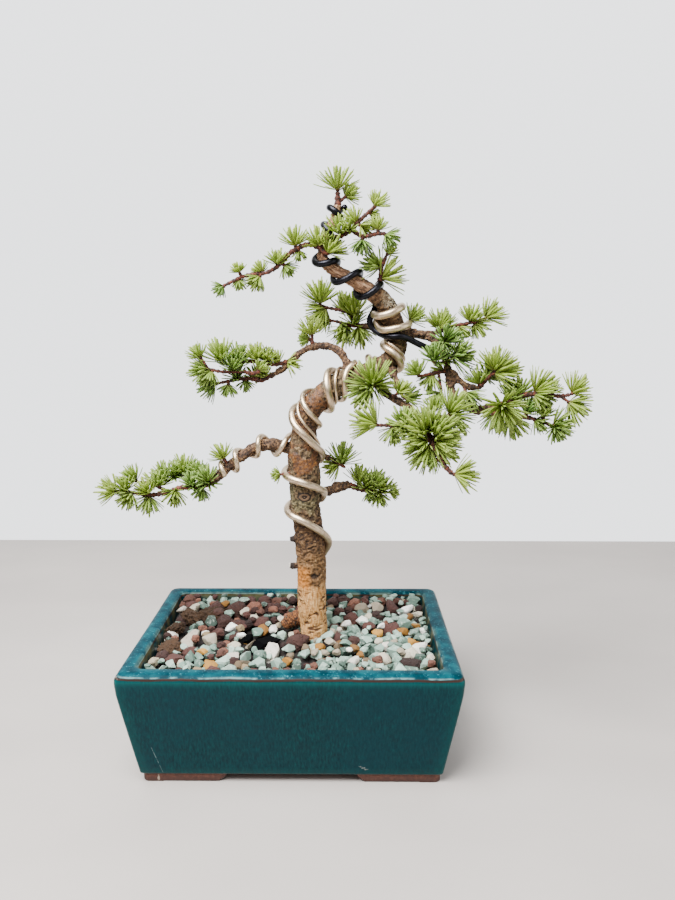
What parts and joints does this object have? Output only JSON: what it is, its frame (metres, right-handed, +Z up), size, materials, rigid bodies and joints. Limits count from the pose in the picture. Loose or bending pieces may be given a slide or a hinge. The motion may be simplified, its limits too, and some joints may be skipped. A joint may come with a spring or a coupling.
{
  "type": "larch bonsai",
  "caption": "Small trained larch with wired trunk and branches and tufts of soft needles, planted in a glazed rectangular pot with corner feet.",
  "frame": {"origin": "middle of the footprint of the whole tree and pot, at the underside of the pot's feet", "axes": "+Z up, front of the tree and the pot's long side towards -Y, +X to the right seen from the front"},
  "size_m": [0.3014, 0.1428, 0.3603],
  "materials": {
    "glaze": "glossy teal glaze, bare clay at the feet",
    "screen": "moulded mesh",
    "gravel": "mixed lava, pumice and zeolite grit",
    "bark": "scaly bark",
    "champagne_wire": "pale bronze anodised",
    "black_wire": "black anodised, satin",
    "needles": "soft matt leaf"
  },
  "bodies": {
    "root": {"pot": "glaze", "drain_screen_left": "screen", "drain_screen_right": "screen", "trunk_and_branches": "bark", "wire_trunk": "champagne_wire", "wire_fine": "champagne_wire", "wire_lower_left": "champagne_wire", "wire_crown": "black_wire", "soil_and_gravel": "gravel", "needles_apex": "needles", "needles_crown_right": "needles", "needles_upper_left": "needles", "needles_crown_spur": "needles", "needles_back_left": "needles", "needles_right_spur": "needles", "needles_right_upper": "needles", "needles_bend_top": "needles", "needles_bend_side": "needles", "needles_bend_left": "needles", "needles_red_twig": "needles", "needles_right_inner": "needles", "needles_inner_spur": "needles", "needles_right_front": "needles", "needles_right_outer": "needles", "needles_right_low": "needles", "needles_front_root": "needles", "needles_back_bend": "needles", "needles_front_knuckle": "needles", "needles_front": "needles", "needles_mid_left_low": "needles", "needles_mid_left_top": "needles", "needles_arch": "needles", "needles_lower_left_spur": "needles", "needles_lower_left": "needles", "needles_lower_right": "needles", "needles_lower_right_top": "needles", "needles_trunk_shoot": "needles"}
  },
  "joints": []
}
